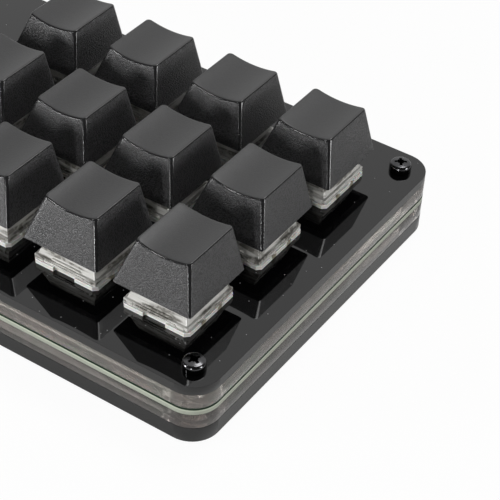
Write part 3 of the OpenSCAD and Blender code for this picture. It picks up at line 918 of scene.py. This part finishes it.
def window_line():
    """The window's outline, which bulges in round each boss."""
    x, y = half_x - WALL, half_y - WALL
    reach_x = math.sqrt(BOSS_R**2 - (screw_y - y) ** 2)
    reach_y = math.sqrt(BOSS_R**2 - (screw_x - x) ** 2)
    points = []
    for sx, sy in ((1, -1), (1, 1), (-1, 1), (-1, -1)):
        first, last = (x, screw_y - reach_y), (screw_x - reach_x, y)
        if sx * sy < 0:
            first, last = last, first
        start = math.atan2(sy * (first[1] - screw_y), sx * (first[0] - screw_x))
        end = math.atan2(sy * (last[1] - screw_y), sx * (last[0] - screw_x))
        turn = (end - start + math.pi) % math.tau - math.pi
        for i in range(ARC_STEPS + 1):
            t = start + turn * i / ARC_STEPS
            points.append((sx * screw_x + BOSS_R * math.cos(t),
                           sy * screw_y + BOSS_R * math.sin(t)))
    return points


def notched_line(from_x, to_x):
    """One outline: in through an open notch at the back, round the window, and out again."""
    y = half_y - WALL
    middle, inner_middle = len(outer) // 2, len(inner) // 2
    round_window = inner[:inner_middle][::-1] + inner[inner_middle:][::-1]
    return (outer[:middle] + [(to_x, half_y), (to_x, y)] + round_window
            + [(from_x, y), (from_x, half_y)] + outer[middle:])


outer, inner = sheet_line(), window_line()
print("outline points:", len(outer), "and", len(inner))

# %% [markdown]
# The upper sheet has a closed window. The lower one is open at the back, where the USB socket
# reaches the edge, and its holes are wide enough for the inserts.

# %% Clear sheets
FILM, SHEET_BEVEL, NOTCH_GAP = 0.02, 0.12, 0.3
SCREW_HOLE_R, INSERT_HOLE_R, HOLE_POINTS = 1.35, 2.35, 40
usb_low, usb_high = box_mm("usb_socket")
notch = (usb_low.x - NOTCH_GAP, usb_high.x + NOTCH_GAP)


def clear_sheet(node, loops, hole_r):
    low, high = box_mm(node)
    holes = [flat_circle(x, y, hole_r, HOLE_POINTS) for x, y in corners]
    return cut_sheet(loops + holes, low.z + FILM, high.z - FILM, SHEET_BEVEL)


piece("upper_clear", clear_sheet("upper_spacer", [outer, inner], SCREW_HOLE_R), clear_acrylic,
      "case", "upper_spacer", slot="clear_sheets")
piece("lower_clear", clear_sheet("lower_spacer", [notched_line(*notch)], INSERT_HOLE_R),
      clear_acrylic, "case", "lower_spacer", slot="clear_sheets")
print("notch across, in mm:", [round(x, 2) for x in notch])

# %% [markdown]
# ## Case screws
#
# The four top screws have domed heads with a cross recess, and their threads show through the
# clear sheet. The head is turned on a lathe of rings, and a tapered cross is cut out of it with a
# boolean. The thread is a grid whose radius rises and falls along a helix.

# %% Screw helpers


def cut_away(shape, cutter):
    """The first shape less the second, by an exact boolean."""
    body, tool = [add_object(name, solid_mesh(name, points, faces))
                  for name, (points, faces) in (("body", shape), ("cutter", cutter))]
    step = body.modifiers.new("cut", "BOOLEAN")
    step.operation, step.object, step.solver = "DIFFERENCE", tool, "EXACT"
    mesh = applied_mesh(body)
    points = [tuple(v.co) for v in mesh.vertices]
    faces = [tuple(p.vertices) for p in mesh.polygons]
    for used in (body.data, tool.data, mesh):
        bpy.data.meshes.remove(used)
    return points, faces


def tapered_box(wide, deep, taper, low, high):
    points = [(sx * (wide - t) / 2, sy * (deep - t) / 2, z)
              for z, t in ((low, taper), (high, 0)) for sx, sy in QUARTERS]
    sides = [(i, (i + 1) % 4, (i + 1) % 4 + 4, i + 4) for i in range(4)]
    return points, [(3, 2, 1, 0), (4, 5, 6, 7)] + sides


def thread(core, depth, pitch, low, high, sides=24, per_turn=6):
    """A threaded rod from its tip to under its head."""
    count = int((high - low) / pitch * per_turn)
    rings = [circle_ring(core * 0.6, low, sides), circle_ring(core, low + 0.25, sides)]
    for k in range(3, count + 1):
        z = low + (high - low) * k / count
        ring = []
        for i in range(sides):
            phase = (z / pitch - i / sides) % 1.0
            r = core + depth * max(0.0, 1 - abs(phase - 0.5) * 2.6)
            t = math.tau * i / sides
            ring.append((r * math.cos(t), r * math.sin(t), z))
        rings.append(ring)
    return ring_mesh(rings)


print("screw helpers ready")

# %% [markdown]
# The head has an upright side, a rounded shoulder and a slightly domed top. Each screw stopped at
# another angle when it was tightened, so its cross points another way.

# %% Top screws
screw_low, screw_high = box_mm("top_screws")
HEAD_R, HEAD_H = 2.35, screw_high.z - plate_top
EDGE, SIDE_H, SHOULDER, DOME, DOME_R = 0.12, 0.9, 0.62, 0.22, 1.73
CROSS_WIDE, CROSS_NARROW, CROSS_DEPTH, CUT_OVER = 2.75, 0.72, 1.25, 0.5
THREAD_CORE, THREAD_DEPTH, THREAD_PITCH = 1.06, 0.19, 0.45
SCREW_TURNS = [12, 57, -21, 33]


def pan_head():
    rings = [circle_ring(HEAD_R - EDGE, 0.0), circle_ring(HEAD_R, EDGE),
             circle_ring(HEAD_R, SIDE_H)]
    for k in range(1, 9):
        t = math.radians(90 * k / 8)
        rings.append(circle_ring(HEAD_R - SHOULDER * (1 - math.cos(t)),
                                 SIDE_H + (HEAD_H - DOME - SIDE_H) * math.sin(t)))
    rings += [circle_ring(r, HEAD_H - DOME * (r / DOME_R) ** 2) for r in (1.45, 1.1, 0.8)]
    rings.append(circle_ring(0.4, HEAD_H))
    return ring_mesh(rings)


def turned(shape, degrees):
    c, s = math.cos(math.radians(degrees)), math.sin(math.radians(degrees))
    return [(x * c - y * s, x * s + y * c, z) for x, y, z in shape[0]], shape[1]


head = pan_head()
for wide, deep, taper, depth in ((CROSS_WIDE, CROSS_NARROW, 0.35, CROSS_DEPTH),
                                 (CROSS_NARROW, CROSS_WIDE, 0.35, CROSS_DEPTH),
                                 (1.45, 1.45, 0.7, 1.3)):
    head = cut_away(head, tapered_box(wide, deep, taper, HEAD_H - depth, HEAD_H + CUT_OVER))
rod = thread(THREAD_CORE, THREAD_DEPTH, THREAD_PITCH, screw_low.z - plate_top, 0.1)
screw_shape = gather(head, rod)
screws = [moved(turned(screw_shape, degrees), x, y, plate_top)
          for (x, y), degrees in zip(corners, SCREW_TURNS)]
piece("corner_screws", gather(*screws), black_steel, "case", "top_screws", slot="screws",
      degrees=38)
print("screw shape:", len(screw_shape[0]), "points each")

# %% [markdown]
# ## Threaded inserts
#
# Each screw bites into a metal insert that sits in the lower clear sheet. Its outside is
# knurled in a diamond pattern, so that it can't turn, and this sparkles through the plastic. Two
# helical waves of opposite hand, multiplied, give the diamonds. A plain groove runs round its
# middle.

# %% Threaded inserts
INSERT_BORE_R, INSERT_CHAMFER, INSERT_GROOVE, KNURL = 1.3, 0.18, 0.22, 0.16
KNURL_WAVES, KNURL_TWIST = 9, 2.6


def insert_shape(low, high, steps=22, count=72):
    rings = []
    for k in range(steps + 1):
        z = low + (high - low) * k / steps
        chamfer = INSERT_CHAMFER if k in (0, steps) else 0.0
        groove = INSERT_GROOVE if abs(k / steps - 0.5) < 0.09 else 0.0
        ring = []
        for i in range(count):
            t = math.tau * i / count
            wave = (abs(math.sin(KNURL_WAVES * t + KNURL_TWIST * z))
                    * abs(math.sin(KNURL_WAVES * t - KNURL_TWIST * z)))
            knurl = 0.0 if groove else KNURL * (1 - wave)
            r = INSERT_R - chamfer - groove - knurl
            ring.append((r * math.cos(t), r * math.sin(t), z))
        rings.append(ring)
    rings += [circle_ring(INSERT_BORE_R, z, count) for z in (high, low)]
    return loop_rings(rings)


insert = insert_shape(insert_low.z, insert_high.z)
piece("corner_inserts", gather(*[moved(insert, x, y) for x, y in corners]), bright_metal, "case",
      "threaded_inserts", slot="inserts", degrees=20)
print("inserts from", round(insert_low.z, 2), "to", round(insert_high.z, 2), "mm")

# %% [markdown]
# ## Knobs
#
# A knob is a turned cap with a fluted grip, a plain skirt and a rounded top edge. The grid's
# radius dips at each flute. A pointer groove is cut into the top and filled with white paint.

# %% Knob shape
knob_low, knob_high = box_mm("knob_front")
knob_top = knob_high.z - knob_low.z
KNOB_R, FLUTES, FLUTE_DEPTH, SKIRT = 8.5, 30, 0.42, 2.6
BORE_R, BORE_H, TOP_FLAT_R, TOP_DISH = 4.5, 4.6, 6.4, 0.12


def knob_shape():
    count = FLUTES * 8
    levels = [(0.0, 0.5), (0.12, 0.2), (0.4, 0.04), (0.7, 0.0), (SKIRT - 0.25, 0.0),
              (SKIRT, 0.12), (SKIRT + 0.25, 0.18)]
    levels += [(SKIRT + 0.5 + (knob_top - SKIRT - 2.0) * k / 8, 0.18) for k in range(9)]
    levels += [(knob_top - 1.3, 0.2), (knob_top - 0.9, 0.32), (knob_top - 0.55, 0.55),
               (knob_top - 0.25, 0.9), (knob_top - 0.08, 1.3), (knob_top, 1.8)]
    rings = [circle_ring(2.0, BORE_H, count), circle_ring(BORE_R, BORE_H, count),
             circle_ring(BORE_R, 0.3, count), circle_ring(BORE_R + 0.3, 0.0, count)]
    for z, inset in levels:
        fade_in = min(max((z - SKIRT) / 0.5, 0), 1)
        fade_out = min(max((knob_top - 0.3 - z) / 1.2, 0), 1)
        cut = FLUTE_DEPTH * fade_in * fade_out
        ring = []
        for i in range(count):
            t = math.tau * i / count
            dip = max(0.0, math.cos(FLUTES * t)) ** 0.7
            r = KNOB_R - inset - cut * dip
            ring.append((r * math.cos(t), r * math.sin(t), z))
        rings.append(ring)
    rings += [circle_ring(r, knob_top - TOP_DISH * (1 - (r / TOP_FLAT_R) ** 2), count)
              for r in (TOP_FLAT_R, 4.2, 2.0)]
    return ring_mesh(rings)


knob = knob_shape()
print("knob before the groove:", len(knob[0]), "points")

# %% [markdown]
# The paint is a thin bar that lies a little below the top, in a groove that runs out through the
# rounded edge. It is a piece of its own and turns with the knob.

# %% Knobs
groove = tapered_box(0.9, 4.4, 0.1, knob_top - 0.4, knob_top + 0.6)
knob = cut_away(knob, moved(groove, 0, 5.2))
mark = moved(tapered_box(0.84, 3.05, 0.0, knob_top - 0.38, knob_top - 0.18), 0, 4.58)
for side, place in knobs.items():
    piece(f"grip_{side}", moved(knob, place.x, place.y, knob_low.z), knob_plastic,
          f"knob_turn_{side}", f"knob_{side}", slot="knobs", degrees=40)
    piece(f"pointer_{side}", moved(mark, place.x, place.y, knob_low.z), mark_paint,
          f"knob_turn_{side}", slot="knobs")
print("knob:", len(knob[0]), "points")

# %% [markdown]
# ## Switch details
#
# The solids already have the switches' flanges, slots and towers. What they lack are the small
# ribs of the housing: in front and behind a long rib, a shorter one above it and a post at
# either end, and two lugs on each side. They are little bars with bevelled edges, one set
# copied to every switch.

# %% Housing ribs
LONG_RIB, SHORT_RIB = (9.4, 0.5, 0.42), (6.8, 0.5, 0.36)
POST, LUG = (1.5, 0.45, 0.9), (0.35, 2.0, 1.3)


def bar(size, middle, soft=0.08):
    work = bmesh.new()
    bmesh.ops.create_cube(work, size=1.0)
    bmesh.ops.scale(work, vec=size, verts=work.verts)
    bmesh.ops.bevel(work, geom=work.edges[:], offset=soft, segments=2, affect="EDGES", profile=0.5)
    bmesh.ops.translate(work, vec=middle, verts=work.verts)
    return taken_out(work)


def on_each_switch(bars):
    one = gather(*bars)
    return gather(*[moved(one, key.x, key.y, plate_top) for key in keys.values()])


ribs = []
for side in (-1, 1):
    ribs.append(bar(LONG_RIB, (0, side * 7.42, 1.5)))
    ribs.append(bar(SHORT_RIB, (0, side * 6.98, 2.3)))
    ribs += [bar(POST, (x, side * 7.4, 1.5)) for x in (-5.9, 5.9)]
ribs += [bar(LUG, (side * 7.38, y, 1.35)) for side in (-1, 1) for y in (-3.0, 3.0)]
piece("housing_ribs", on_each_switch(ribs), clear_nylon, "case", slot="housings")
print("ribs on each switch:", len(ribs))

# %% [markdown]
# Each side of a flange has two small slots, which lie in shade. That shade is painted: thin dark
# bars make darker patches in the white strip.

# %% Side slots, with painted shade
SLOT_PATCH, SLOT_PATCH_SINK = (0.12, 1.3, 0.84), 0.03

flange_half = box_mm("switch_lower_housings")[1].x - max(key.x for key in keys.values())
# Dark bars of painted shade, set into the flange's sides.
slot_shades = [bar(SLOT_PATCH, (side * (flange_half - SLOT_PATCH_SINK), y, 0.5), 0.03)
           for side in (-1, 1) for y in (-2.6, 2.6)]
piece("side_slot_shade", on_each_switch(slot_shades), slot_shade_plastic, "case", slot="housings")
print("flange half width:", round(flange_half, 2), "mm")

# %% [markdown]
# ## Soft edges and finishes for the solids that stay
#
# The other solids have the right shape and only need a finish. A perfectly sharp edge never
# catches light, so most get a small bevel: first Weld and a planar Decimate tidy the triangles
# that the exact model was cut into, and then a Bevel rounds what is left of the real edges.

# %% Finish the remaining solids
SHARP_DEGREES = 35


def dress(node, material, bevel=0.0):
    solid = nodes[node]
    solid.data.materials.clear()
    solid.data.materials.append(material)
    if not bevel:
        return
    weld = solid.modifiers.new("weld", "WELD")
    weld.merge_threshold = 1e-6
    tidy = solid.modifiers.new("tidy", "DECIMATE")
    tidy.decimate_type, tidy.angle_limit = "DISSOLVE", math.radians(0.5)
    soft = solid.modifiers.new("soft_edges", "BEVEL")
    soft.width, soft.segments = bevel * MM, 2
    soft.limit_method, soft.angle_limit = "ANGLE", math.radians(SHARP_DEGREES)


dress("top_plate", black_acrylic, 0.12)
dress("bottom_plate", black_acrylic, 0.15)
dress("circuit_board", green_board)
dress("rubber_feet", foot_rubber, 0.25)
dress("bottom_screws", black_steel, 0.06)
dress("switch_lower_housings", milky_nylon, 0.09)
dress("switch_upper_housings", clear_nylon, 0.12)
dress("switch_contacts", sprung_brass)
dress("key_lamps", lamp_plastic)
dress("usb_socket", pressed_steel)
dress("controller_chip", black_moulding, 0.05)
dress("board_components", black_moulding, 0.06)
dress("encoder_cases", pressed_steel, 0.12)
dress("encoder_bases", black_moulding)
for n in keys:
    dress(f"stem_{n}", stem_plastic, 0.06)
for side in knobs:
    dress(f"encoder_shaft_{side}", pressed_steel, 0.15)
    dress(f"encoder_plunger_{side}", plunger_nylon, 0.1)
print("solids with a material:", sum(bool(o.data.materials) for o in nodes.values()))
